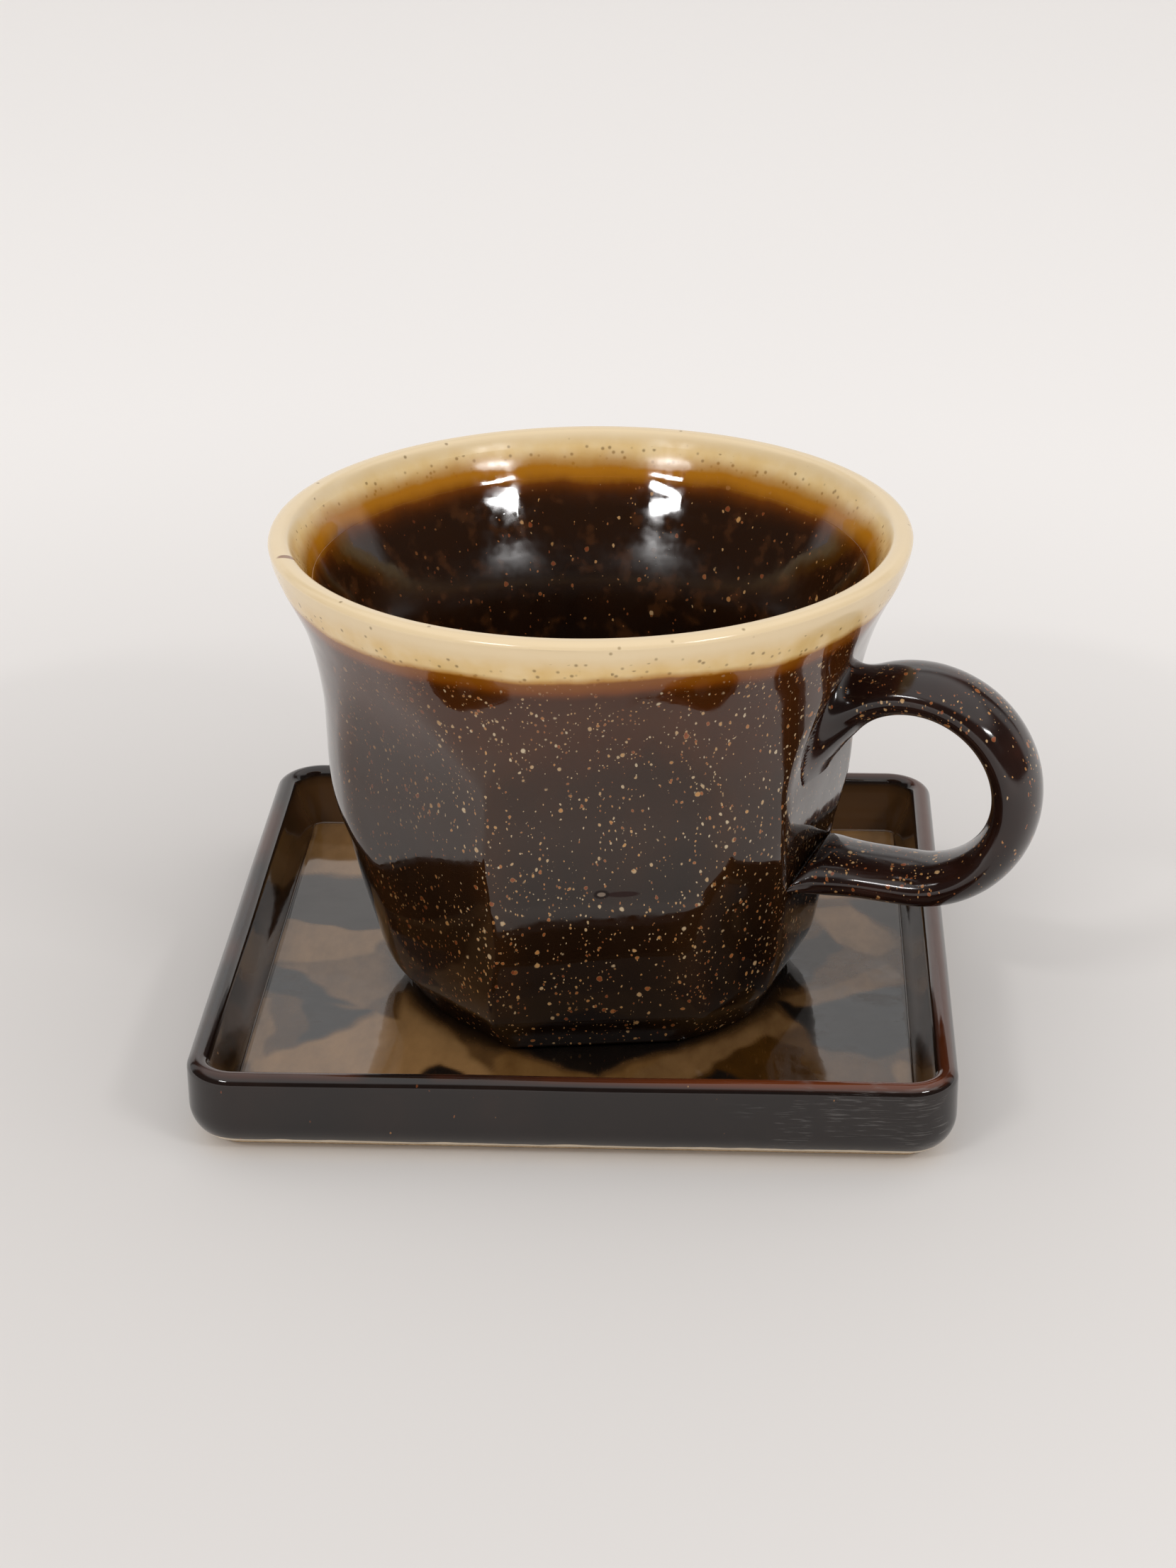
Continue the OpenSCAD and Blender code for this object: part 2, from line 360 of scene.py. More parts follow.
def makeGlazeWaveGroup():
    # long soft unevenness of a poured glaze, with the faint pits of its melt
    tree, entry, leave = newGroup("glazeWave", ["Place", "Pits"], ["Height", "Roughness"])
    broad = cloud(entry["Place"], wave["broad"][0], 1)
    skin = cloud(entry["Place"], wave["skin"][0], 1)
    pit = remap(cells(entry["Place"], wave["pitCell"])["Distance"], *wave["pitRadius"])
    total = plus(times(broad, wave["broad"][1]), times(skin, wave["skin"][1]))
    feed(plus(total, times(pit, entry["Pits"])), leave["Height"])
    feed(remap(skin, 0.3, 0.7, *wave["roughness"]), leave["Roughness"])
    return tree


cream = {  # distances are in mm above the glaze's lower border
    "ragged": 0.9,
    "border": (-0.25, 0.55),  # where it covers the brown
    "mottling": [(0.3, (0.73, 0.49, 0.19)), (0.5, (0.77, 0.545, 0.25)), (0.7, (0.8, 0.6, 0.32))],
    "thick": (0.745, 0.59, 0.375),  # paler where it lies thick on the lip
    "thickRise": (73.2, 76.8),  # heights over the saucer's floor, outside
    "thickInside": 2.4,  # this much higher inside
    "speckCell": 1.3,
    "speckRadius": (0.1, 0.34),  # in cells
    "speckReach": (0.2, 7),
    "speckAmount": (0.9, 0.05),
    "speck": (0.17, 0.1, 0.028),
    "honey": (0.4, 0.16, 0.007),
    "honeyShare": 0.87,
    "honeyReach": (0.1, 1.9, 1.3),  # from, to, and so much further inside
    "amberReach": (-6.5, -1.6),
    "thinning": (-4.8, -0.2),
    "amberOutside": [(0, (0.055, 0.013, 0.001)), (0.5, (0.17, 0.043, 0.002)), (1, (0.23, 0.07, 0.004))],
    "amberInside": [(0, (0.06, 0.014, 0.001)), (0.5, (0.14, 0.036, 0.002)), (1, (0.42, 0.16, 0.008))],
}


def makeLipGlazeGroup():
    # cream glaze over dark brown: where it thins out it breaks to honey and amber
    tree, entry, leave = newGroup(
        "lipGlaze", ["Place", "Depth", "Height", "Inside", "Brown"], ["Colour", "Cream"])
    place, inside = entry["Place"], entry["Inside"]
    broad = times(centred(cloud(place, 11, 1)), 2)
    ragged = plus(centred(cloud(place, 3.2, 3)), broad)
    depth = timesPlus(ragged, cream["ragged"], entry["Depth"])

    colour = ramp(cloud(place, 5, 3), cream["mottling"])
    level = timesPlus(inside, -cream["thickInside"], entry["Height"])
    colour = mix(remap(level, *cream["thickRise"], 0, 0.92), colour, cream["thick"])
    cell = cells(place, cream["speckCell"])
    amount = remap(depth, *cream["speckReach"], *cream["speckAmount"])
    speck = times(remap(cell["Distance"], *cream["speckRadius"], 1, 0),
                  calc("LESS_THAN", addNode("SeparateColor", cell["Color"]).outputs["Red"], amount))
    colour = mix(times(speck, 0.7), colour, cream["speck"])
    start, end, further = cream["honeyReach"]
    honey = remap(depth, start, timesPlus(inside, further, end), cream["honeyShare"], 0)
    colour = mix(honey, colour, cream["honey"])

    thinning = remap(depth, *cream["thinning"])
    amber = mix(inside, ramp(thinning, cream["amberOutside"]), ramp(thinning, cream["amberInside"]))
    below = mix(remap(depth, *cream["amberReach"]), entry["Brown"], amber)
    covers = remap(depth, *cream["border"])
    feed(mix(covers, below, colour), leave["Colour"])
    feed(covers, leave["Cream"])
    return tree


def makeScuffGroup():
    # light dry scratches, nearly all one way: noise drawn out along the wall, in a few patches
    tree, entry, leave = newGroup("lightScuffs", ["Place", "Amount"], ["Mask"])
    drawnOut = stretch(entry["Place"], (0.2, 0.2, 3.4), (0, 0.07, 0))
    lines = remap(cloud(drawnOut, 1, 3, 0.6), 0.52, 0.68)
    patches = remap(cloud(entry["Place"], 9, 2), 0.46, 0.6)
    feed(times(times(lines, patches), entry["Amount"]), leave["Mask"])
    return tree


flecksGroup = makeSpeckleGroup()
waveGroup = makeGlazeWaveGroup()
lipGroup = makeLipGlazeGroup()
scuffGroup = makeScuffGroup()


# cup sizes, in mm; heights are over the saucer's floor
cup = {
    "axis": 1,  # right of the saucer's middle
    "floor": 5,  # height of the saucer's floor
    "height": 78.7,
    "rim": 51.9,
    "bodyRadius": 44.2,
    "facetRadius": 39.8,
    "baseRadius": 31.8,
    "innerRadius": 36.3,
    "lip": 3.8,
    "band": 71.3,  # where the lip piece starts
    "facets": 6,
    "facetTurn": 12,  # degrees from the front to the right
    "frontSwing": -5,  # degrees the front facet was cut askew
    "leftSwing": 6,  # the same for the left one
    "leftSwingRise": (6, 22),  # heights between which it sets in
    "facetBlend": 0.3,  # rounds the edge between two facets
    "edgeBlend": 0.8,  # and between a facet and the round wall
    "sharpCorner": -18,  # degrees from the front, the corner that was left sharper
    "sharpWidth": 10,
    "lean": (1, -1),  # how far the foot stands right of the lip's axis, and back
    "leanHeight": 28,
    "wave": 0.05,  # hand-made unevenness of the wall
    "waveRise": (4, 12),
    "creamOutside": 71.1,  # height of the cream glaze's lower border
    "creamInside": 73.2,
    "creamCrisp": 1.35,  # how much crisper the border outside is
    "creamBuild": 0.26,  # how much thicker it lies inside than the brown
    "creamBuildRise": (71.4, 76.2),
    "edgeWear": 1.1,  # reach of the wear at a facet's edge
    "cornerWear": 4,  # and at the sharp corner, degrees
    "footRadius": 28.4,
    "footFace": 5.2,
    "footHeight": 0.5,
    "footEdge": 0.6,  # height of the rounded edge above the foot ring
    "hollow": 1.9,
    "innerFloor": 6.9,
    "columns": 480, "wallRows": 128, "insideRows": 64, "lipRows": 26, "crestSteps": 5,
}

frontFacet, handleFacet, leftFacet = 0, 1, 5  # counted from the front to the right

# shares of the way out from one radius to the next, and of the cup's height
bellyShares = [[0, .01], [.15, .045], [.36, .095], [.51, .19], [.72, .335], [.93, .46], [1, .672]]
flareShares = [[.28, .807], [.76, .915], [.93, .958], [.99, .985]]
insideShares = [[0, .55], [.05, .68], [.38, .8], [.78, .92], [.97, .97]]
bowlShares = [[0, 0], [.45, .006], [.7, .03], [.84, .09], [.91, .19], [.96, .31], [.985, .4]]

# a facet's plane: distance from the axis, height
cutRows = [[30.2, .8], [31.6, 3.9], [33.4, 7], [34.9, 11], [35.9, 15], [36.8, 20], [37.6, 25], [38.5, 30],
           [39.3, 35], [39.8, 40], [39.9, 45], [40.75, 50], [42.3, 55], [44.25, 60], [46.5, 65], [48.6, 69],
           [50.6, 72.4], [53.2, 76]]
fullRows = {  # how much fuller these facets are than that, height
    frontFacet: [[1, .8], [.8, 7], [.5, 15], [.8, 20], [.7, 24], [.45, 28], [0, 35], [0, 76]],
    handleFacet: [[1.6, .8], [1.8, 7], [1, 15], [.2, 25], [0, 30], [0, 76]],
    leftFacet: [[2, .8], [1.8, 7], [1.6, 15], [1.3, 25], [1.1, 30], [1, 36], [.9, 42], [.3, 52],
                [0, 60], [0, 76]],
}
# how far the sharp corner stands out, height
cornerCurve = np.array([[2.4, 0], [3, 8], [4, 15], [4.2, 26], [3, 40], [1.2, 50], [0, 58]])


def profileRows(shares, start, end):
    # rows of radius and height from rows of shares
    shares = np.array(shares, float)
    return np.stack([start + (end - start) * shares[:, 0], shares[:, 1] * cup["height"]], 1)


thrownCurve = smoothCurve(np.vstack([
    profileRows(bellyShares, cup["baseRadius"], cup["bodyRadius"]),
    profileRows(flareShares, cup["bodyRadius"], cup["rim"])]))
cutCurve = smoothCurve(cutRows)
fullCurves = {number: smoothCurve(rows) for number, rows in fullRows.items()}
bowlRows = np.array(bowlShares) * [cup["innerRadius"], cup["height"]] + [0, cup["innerFloor"]]
insideCurve = smoothCurve(np.vstack([
    bowlRows, profileRows(insideShares, cup["innerRadius"], cup["rim"] - cup["lip"])]))


def outerRadius(angle, height):
    # least of the thrown radius and every facet's plane, their edges rounded, less a soft hand-made wave
    fromFront = np.degrees(angle) + 90
    corner = awayFrom(fromFront, cup["sharpCorner"])
    stand = atHeight(cornerCurve, height)
    thrown = atHeight(thrownCurve, height) + stand * np.exp(-(corner / cup["sharpWidth"]) ** 2)
    aside, back = cup["lean"]
    thrown = thrown + (aside * np.cos(angle) + back * np.sin(angle)) * ease(cup["leanHeight"], 0, height)
    farOut = 2 * cup["rim"]
    cut = np.full(np.broadcast(angle, height).shape, farOut)
    for number in range(cup["facets"]):
        middle = cup["facetTurn"] + 360 / cup["facets"] * number
        plane = atHeight(cutCurve, height, right=farOut)
        if number == frontFacet:
            middle += cup["frontSwing"]
        if number == leftFacet:
            middle = middle + cup["leftSwing"] * ease(*cup["leftSwingRise"], height)
        if number in fullCurves:
            plane = plane + atHeight(fullCurves[number], height)
        away = np.radians(awayFrom(fromFront, middle))
        flat = plane / np.maximum(np.cos(away), 0.2)  # planes that face elsewhere stay far out
        cut = softLeast(cut, flat, cup["facetBlend"])
    ripple = 1 + np.sin(5 * angle + 0.11 * height + 1) * np.sin(0.23 * height + 2 * angle)
    radius = softLeast(thrown, cut, cup["edgeBlend"]) - cup["wave"] * ripple * ease(*cup["waveRise"], height)
    return radius, thrown, cut


def innerOffset(height):
    # the cream glaze lies thicker inside the lip than the brown one below it
    return cup["creamBuild"] * ease(*cup["creamBuildRise"], height)


def cupPoints(radius, angle, height):
    # round the cup's axis, over the saucer's floor
    x, y = cup["axis"] + radius * np.cos(angle), radius * np.sin(angle)
    return np.stack(np.broadcast_arrays(x, y, cup["floor"] + height), -1)


def ringGrid(curve, angle):
    # the curve's rows of radius and height, turned round the axis
    return cupPoints(curve[:, :1], angle, curve[:, 1:])


def outsideDepth(heights):
    # distance above the cream glaze's border outside, which wanders up and down round the cup
    border = cup["creamOutside"] + 0.35 * np.sin(4 * angles + 1.1) + 0.25 * np.sin(9 * angles + 0.5)
    return cup["creamCrisp"] * (heights - border)


def insideDepth(heights):
    # the same inside
    return heights - (cup["creamInside"] + 0.35 * np.sin(3 * angles + 0.4) + 0.25 * np.sin(7 * angles))


def spread(values, parts):
    # rows of one value for every point of each part, put together
    return np.vstack([value * np.ones(part.shape[:2]) for value, part in zip(values, parts)])


angles = np.arange(cup["columns"]) / cup["columns"] * turn


# cup wall
def makeCupWall(material):
    # under the foot, up the outside by outerRadius, across the top and down the inside's turned curve
    low, high = cup["footHeight"], cup["band"]
    hollow, inner = cup["hollow"], cup["footRadius"] - cup["footFace"]
    heights = np.linspace(low + cup["footEdge"], high, cup["wallRows"])[:, None]
    radius, thrown, cut = outerRadius(angles, heights)
    outside = cupPoints(radius, angles, heights)
    corner = awayFrom(np.degrees(angles) + 90, cup["sharpCorner"])
    worn = np.exp(-np.minimum(((thrown - cut) / cup["edgeWear"]) ** 2, (corner / cup["cornerWear"]) ** 2))
    worn *= ease(high + 2, high - 8, heights) * ease(3, 10, heights)
    under = np.array([
        [1.5, hollow], [8, hollow], [16, hollow], [inner - 3, hollow], [inner - 0.8, hollow - 0.05],
        [inner - 0.2, hollow - 0.35], [inner, hollow - 0.8], [inner, low], [cup["footRadius"] - 1, low]])
    inset, up = np.array([[1.6, 0], [0.9, 0], [0.4, 0.08], [0.1, 0.3]]).T[:, :, None]  # rounds the foot
    under = np.vstack([ringGrid(under, angles), cupPoints(radius[:1] - inset, angles, low + up)])
    inner = insideCurve[insideCurve[:, 1] <= high]
    inner = evenly(inner[inner[:, 0] > 0.8], cup["insideRows"])[::-1]
    inner[0, 1] = high
    inner[:, 0] -= innerOffset(inner[:, 1])
    cap = np.linspace(0, 1, 4)[1:-1, None, None]
    top = outside[-1][None] * (1 - cap) + ringGrid(inner[:1], angles) * cap
    parts = under, outside, top, ringGrid(inner, angles)
    piece = buildPiece(
        "cupWall", np.vstack(parts),
        poleStart=cupPoints(0, 0, hollow),
        poleEnd=cupPoints(0, 0, cup["innerFloor"]),
        creamDepth=spread([-60, outsideDepth(heights), -3, insideDepth(inner[:, 1:])], parts),
        facetEdge=spread([0, worn, 0, 0], parts),
        inside=spread([0, 0, 0.5, 1], parts))
    finishPiece(piece, "cup", ["cup_body"], material)


# lip: its crest's distances from the rim, and heights
crestRows = [[-0.45, 78.25], [-1.15, 78.62], [-2, 78.68], [-2.9, 78.48], [-3.5, 77.95]]


def makeLip(material):
    # outside by outerRadius, over a rounded crest and down the inside, closed along its lower edge
    high, steps = cup["band"], cup["crestSteps"]
    heights = np.linspace(high, thrownCurve[-1, 1], cup["lipRows"])[:, None]
    outside = cupPoints(outerRadius(angles, heights)[0], angles, heights)
    inner = insideCurve[insideCurve[:, 1] > high]
    inner = np.vstack([[atHeight(insideCurve[-30:], high), high], inner])
    inner[:, 0] -= innerOffset(inner[:, 1])
    crest = np.vstack([thrownCurve[[-6, -1]], np.array(crestRows) + [cup["rim"], 0], inner[[-1, -6]]])
    crest = smoothCurve(crest, steps)[steps + 1:-steps]
    inner = evenly(inner[::-1], cup["lipRows"])
    parts = outside, ringGrid(crest, angles), ringGrid(inner, angles)
    piece = buildPiece(
        "cupLip", np.vstack(parts), closedRows=True,
        creamDepth=spread([outsideDepth(heights), 9, insideDepth(inner[:, 1:])], parts),
        facetEdge=spread([0, 0, 0], parts),
        inside=spread([0, np.linspace(0, 1, len(crest))[:, None], 1], parts))
    finishPiece(piece, "cup", ["cup_lip"], material)


# foot ring
def makeFootRing(material):
    # small section with rounded edges, turned round the axis
    outer, inner, high = cup["footRadius"], cup["footRadius"] - cup["footFace"], cup["footHeight"]
    section = smoothCurve([
        [outer, high], [outer, 0.45], [outer - 0.12, 0.15], [outer - 0.45, 0], [outer - 1.2, 0],
        [inner + 1.2, 0], [inner + 0.4, 0], [inner + 0.1, 0.14], [inner, 0.4], [inner, high]], 4)
    section[:, 1] = np.maximum(section[:, 1], 0)
    across = np.linspace(0, 1, 5)[1:-1, None]
    top = section[-1] * (1 - across) + section[0] * across
    rings = ringGrid(np.vstack([section, top])[::-1], angles[::2])
    piece = buildPiece("footRing", rings, closedRows=True)
    finishPiece(piece, "cup", ["cup_foot_ring"], material)


# handle
handle = {
    "ring": 16.6,  # radius of the strap's middle
    "height": 41.4,
    "reach": 15.65,
    "thick": 7.7,
    "broad": 14,
    "slope": 47,  # of the upper root, degrees
    "bury": 2,  # how far both ends go into the wall
    "spreadThick": 1.1,
    "spreadBroad": 1.26,
    "spreadLength": 9,
    "fillet": 4.2,
    "underFillet": 8,  # the same under the lower root
    "crease": 60,  # degrees past which an edge is shaded sharp
    "sides": 96, "rows": 260, "straightSteps": 60, "bendSteps": 150,
    "easings": 3,  # of the change from the straight runs into the ring
}


def makeHandle(material):
    # an oval carried along a sloping run, a ring and a level run, in the upright plane of the handle's facet
    ringCentre = np.array([cup["facetRadius"] + handle["reach"], handle["height"]])
    startAngle = math.radians(90 + handle["slope"])
    start = ringCentre + handle["ring"] * towards(startAngle)
    way = np.array([math.sin(startAngle), -math.cos(startAngle)])
    run = (start[0] - cup["facetRadius"] + handle["bury"]) / way[0]
    end = ringCentre - [0, handle["ring"]]
    endRun = end[0] - cup["facetRadius"] + handle["bury"]
    bend = np.linspace(startAngle, -turn / 4, handle["bendSteps"])
    steps = handle["straightSteps"]
    course = np.vstack([
        start - way * run * np.linspace(1, 0, steps, endpoint=False)[:, None],
        ringCentre + handle["ring"] * towards(bend),
        end - [1, 0] * (endRun * np.linspace(0, 1, steps + 1)[1:, None])])
    course = evenly(course, handle["rows"])
    ways = np.gradient(course, axis=0)
    for _ in range(handle["easings"]):
        ways[1:-1] = (ways[:-2] + 2 * ways[1:-1] + ways[2:]) / 4
    ways /= np.linalg.norm(ways, axis=1)[:, None]

    around = np.arange(handle["sides"]) / handle["sides"] * turn
    near = np.clip(1 - (course[:, 0] - cup["facetRadius"]) / handle["spreadLength"], 0, 1) ** 2
    thick = handle["thick"] / 2 * (1 + (handle["spreadThick"] - 1) * near)
    broad = handle["broad"] / 2 * (1 + (handle["spreadBroad"] - 1) * near)
    out, across = thick[:, None] * np.cos(around), broad[:, None] * np.sin(around)
    radial = course[:, :1] - out * ways[:, 1:]
    upward = course[:, 1:] + out * ways[:, :1]

    # fillet: near the facet each point moves outwards in the facet's plane by a quarter circle's sagging
    lower = ease(handle["height"], handle["height"] - handle["ring"], course[:, 1])[:, None]
    more = handle["underFillet"] - handle["fillet"]
    fillet = handle["fillet"] + more * lower * np.maximum(np.cos(around), 0)
    gap = np.clip(radial - atHeight(cutCurve, upward), 0, fillet)
    swell = fillet - np.sqrt(np.maximum(fillet ** 2 - (fillet - gap) ** 2, 0))
    sideways = np.stack([np.sin(around) + 0 * out, np.cos(around) * np.abs(ways[:, :1])], -1)
    sideways /= np.linalg.norm(sideways, axis=-1, keepdims=True) + 1e-9
    across = across + swell * sideways[..., 0]
    upward = upward + swell * sideways[..., 1]

    direction = math.radians(cup["facetTurn"] + 360 / cup["facets"] * handleFacet) - turn / 4
    outwards = towards(direction)
    beside = np.array([-outwards[1], outwards[0]])
    rings = np.stack([
        cup["axis"] + radial * outwards[0] + across * beside[0],
        radial * outwards[1] + across * beside[1],
        cup["floor"] + upward], -1)
    piece = buildPiece("handleStrap", rings[:, ::-1], poleStart=rings[:1].mean(1), poleEnd=rings[-1:].mean(1),
                       crease=handle["crease"])
    finishPiece(piece, "cup", ["cup_handle"], material)


# saucer
saucer = {
    "half": 60,
    "corner": 8,
    "height": 14.7,
    "floor": 5,
    "wallTop": 3.6,
    "wallFoot": 6.4,
    "tuck": 5.2,
    "tuckHeight": 5.6,
    "base": 1.2,
    "glaze": 0.5,
    "outerRows": [[0, 8.5], [0, 10.5]],  # inset, height
    "innerRows": [[0.25, 11.6], [0.8, 9.4], [1.5, 7.4]],  # inset past the wall's top, height
    "flatInsets": [58, 40, 20, 8.5],  # rings of the flat faces, from the middle outwards
    "crestWave": 0.14,
    "panelRings": 105,
    # steps round a corner and along a side
    "traySteps": (24, 70), "panelSteps": (12, 130), "baseSteps": (10, 40),
}


def squareRings(section, cornerSteps, sideSteps):
    # a rounded square for each row of inset from the outer face and height. Its points stand outwards from a
    # corner's centre, or from between two, and past the corner's radius it only shrinks
    half, corner = saucer["half"], saucer["corner"]
    centres, ways = [], []
    for quarter in range(4):
        first = quarter * turn / 4
        swing = first + np.linspace(0, turn / 4, cornerSteps, endpoint=False)
        sign, following = np.sign(towards(first + turn / 8)), np.sign(towards(first + 3 * turn / 8))
        share = np.linspace(0, 1, sideSteps, endpoint=False)[:, None]
        centres += [np.tile(sign, (cornerSteps, 1)), sign * (1 - share) + following * share]
        ways += [towards(swing), np.tile(towards(first + turn / 4), (sideSteps, 1))]
    inset = section[:, :1, None]
    centres = np.vstack(centres) * (half - corner)
    shrink = (half - np.maximum(inset, corner)) / (half - corner)
    plan = centres * shrink + (corner - np.minimum(inset, corner)) * np.vstack(ways)
    return np.concatenate([plan, np.broadcast_to(section[:, 1:, None], plan.shape[:2] + (1,))], -1)


def makeTray(material):
    # section from the underside up the outer face, over a half-round crest, down the inner face and inwards
    crest, tuck, tuckHeight = saucer["wallTop"] / 2, saucer["tuck"], saucer["tuckHeight"]
    low, panel, foot = saucer["base"], saucer["floor"] - saucer["glaze"], saucer["wallFoot"]
    flat = np.array(saucer["flatInsets"])[:, None]
    section = np.vstack([
        np.hstack([flat, low + 0 * flat]),
        [[tuck + 0.1, low]],
        bow([tuck, low + tuckHeight], [tuck, tuckHeight], 270, 180, 18),
        saucer["outerRows"],
        bow([crest, saucer["height"] - crest], [crest, crest], 180, 0, 22),
        np.array(saucer["innerRows"]) + [saucer["wallTop"], 0],
        bow([foot, saucer["floor"] + 0.5], [0.3, 0.5], 180, 270, 5),
        [[foot + 0.02, panel + 0.2], [foot + 0.02, panel]],
        np.hstack([flat, panel + 0 * flat])[::-1]])
    rings = squareRings(section, *saucer["traySteps"])
    along = np.arctan2(rings[..., 1], rings[..., 0])
    dip = 1 + np.sin(5 * along + 0.6) * np.cos(3 * along)  # the crest isn't dead level
    rings[..., 2] -= ease(8, 14, rings[..., 2]) * saucer["crestWave"] * dip
    rim = ease(13.7, 14.55, rings[..., 2])
    lining = ease(2.2, 4.2, section[:, :1]) * ease(13.9, 12.5, section[:, 1:]) * (section[:, 1:] > panel)
    piece = buildPiece("trayWall", rings, poleStart=[0, 0, low], poleEnd=[0, 0, panel],
                       crest=rim, lining=lining + 0 * rim)
    finishPiece(piece, "saucer", ["saucer_tray"], material)


patchwork = {
    "ground": 0.55,
    "groundHue": 0.3,
    "soft": 0.8,  # mm over which one patch runs into the next
    "paintedFootShadow": (29.5, 37),  # radii between which the painted shadow round the foot, a dark ring, fades
    # tone from 0, nearly black, to 1, light tan; hue from 0, grey brown, to 1, amber; the patch's corners
    "patches": [
        (0.95, 0.3, [(-30, -8), (-12, -44), (-30, -46)]),
        (0.9, 0.2, [(-54, 31), (-36, 34), (-36, 46), (-54, 45)]),
        (0.85, 0.6, [(-54, 44), (-36, 45), (-36, 54), (-54, 54)]),
        (0.1, 0, [(-54, 13), (-36, 10), (-36, 31), (-54, 30)]),
        (0.88, 0.1, [(-54, -4), (-36, 0), (-36, 10), (-54, 13)]),
        (0.7, 0.2, [(-54, -5), (-36, -19), (-28, -8), (-34, 2)]),
        (0.08, 0, [(-54, -5), (-50, -6), (-35, -20), (-46, -16), (-54, -15)]),
        (0.08, 0, [(-46, -15), (-35, -20), (-46, -31)]),
        (0.8, 0.1, [(-54, -16), (-51.5, -16), (-50, -38), (-54, -38)]),
        (0.5, 0.2, [(-51.5, -16), (-46, -16), (-45, -34), (-50, -38)]),
        (0.88, 0.15, [(-46, -32), (-34, -21), (-29, -24), (-29, -50), (-54, -50), (-52, -38)]),
        (0.05, 0, [(-28, -43), (-22, -36.5), (-16, -43)]),
        (0.72, 0.6, [(-16, -46), (-11, -33), (4, -41), (4, -46)]),
        (0.72, 0.6, [(4, -46), (4, -41), (16, -32), (20, -46)]),
        # partly a dark patch of the pattern, partly painted contact shadow in front of the cup's foot
        (0.04, 0, [(-11.5, -29), (-9.4, -31.2), (3.4, -39.9), (15.4, -30.3), (17.5, -28)]),
        (0.74, 0.3, [(6, -44), (14, -44), (36, -22), (30, -15), (24, -22)]),
        (0.32, 0.9, [(16, -44), (30, -27), (36, -30), (40, -44)]),
        (0.05, 0, [(17, -44), (23, -37), (29, -44)]),
        (0.86, 0.15, [(38, -30), (52, -34), (54, -26), (54, -50), (38, -50)]),
        (0.08, 0, [(33, -14), (54, -8), (54, -28), (49, -33), (38, -28)]),
        (0.72, 0.2, [(33, -12), (52, 0), (54, -6), (36, -16)]),
        (0.12, 0, [(31, -9), (35, -9), (43, 6), (40, 13), (33, 4)]),
        (0.8, 0.1, [(38, 22), (46, 22), (53, 6), (50, 2), (42, 8)]),
        (0.14, 0, [(45, 24), (54, 24), (54, 10)]), (0.9, 0.3, [(38, 26), (54, 26), (54, 54), (36, 54)]),
        (0.1, 0, [(-24, -16), (0, -31), (24, -16), (0, -4)]),
        (0.7, 0.2, [(-24, 14), (0, 2), (24, 14), (0, 26)]), (0.12, 0, [(-20, 54), (-4, 32), (12, 54)]),
        (0.75, 0.2, [(12, 54), (26, 34), (40, 54)]), (0.4, 0.8, [(-38, 54), (-28, 36), (-18, 54)]),
    ],
}


def insidePatch(corners, x, y, soft):
    # share 1 inside a convex patch, 0 outside: the farthest of its edges decides
    corners = np.array(corners, float)
    following = np.roll(corners, -1, 0)
    area = np.sum(corners[:, 0] * following[:, 1] - following[:, 0] * corners[:, 1])
    side = following - corners
    normal = np.stack([side[:, 1], -side[:, 0]], 1) * np.sign(area)
    normal /= np.linalg.norm(normal, axis=1)[:, None]
    distance = np.max([(x - px) * nx + (y - py) * ny for (px, py), (nx, ny) in zip(corners, normal)], 0)
    return ease(soft, -soft, distance)


def makeFloorGlaze(material):
    # shallow panel: the tray's rounded square, shrinking to its middle, with the glaze's slight pools
    panel, top, outer = saucer["floor"] - saucer["glaze"], saucer["floor"], saucer["wallFoot"]
    shares = np.linspace(0, 1, saucer["panelRings"]) ** 0.92
    insets = outer + 0.15 + (saucer["half"] - outer - 1) * shares
    section = np.vstack([
        [[58, panel], [30, panel], [outer, panel]],
        [[outer, top - 0.12], [outer + 0.04, top - 0.03]],
        np.stack([insets, np.full(len(insets), top)], 1)])
    rings = squareRings(section, *saucer["panelSteps"])
    x, y = rings[..., 0], rings[..., 1]
    pool = 0.05 * (np.sin(0.13 * x + 1) * np.cos(0.11 * y) - 1) - 0.02 * (1 + np.sin(0.31 * x + 0.23 * y))
    rings[..., 2] += pool * (section[:, 1:] >= top) * ease(outer + 0.1, outer + 4, section[:, :1])
    bentX = x + 0.7 * np.sin(0.35 * y + 1) + 0.35 * np.sin(0.9 * x + 0.7 * y)
    bentY = y + 0.7 * np.sin(0.31 * x + 2) + 0.35 * np.sin(0.8 * y - 0.6 * x)
    tone = patchwork["ground"] + 0 * x
    hue = patchwork["groundHue"] + 0 * x
    for value, tint, corners in patchwork["patches"]:
        share = insidePatch(corners, bentX, bentY, patchwork["soft"])
        tone = tone * (1 - share) + value * share
        hue = hue * (1 - share) + tint * share
    # painted contact shadow: the tone darkens towards the cup's foot
    tone *= ease(*patchwork["paintedFootShadow"], np.hypot(x - cup["axis"], y))
    piece = buildPiece("floorPanel", rings, poleStart=[0, 0, panel], poleEnd=[0, 0, top - 0.1],
                       patchTone=tone, patchHue=hue)
    finishPiece(piece, "saucer", ["saucer_floor_glaze"], material)


def makeClayBase(material):
    # plate with a rounded lower edge
    inset, high = saucer["tuck"], saucer["base"]
    section = np.vstack([
        [[58, 0], [30, 0], [inset + 2.5, 0], [inset + 0.5, 0]],
        bow([inset + 0.4, 0.4], [0.4, 0.4], 265, 180, 7),
        [[inset, 0.8], [inset, high], [inset + 1.5, high], [30, high], [58, high]]])
    rings = squareRings(section, *saucer["baseSteps"])
    piece = buildPiece("clayBase", rings, poleStart=[0, 0, 0], poleEnd=[0, 0, high])
    finishPiece(piece, "saucer", ["saucer_base"], material)


# materials
glazeIor = 1.56

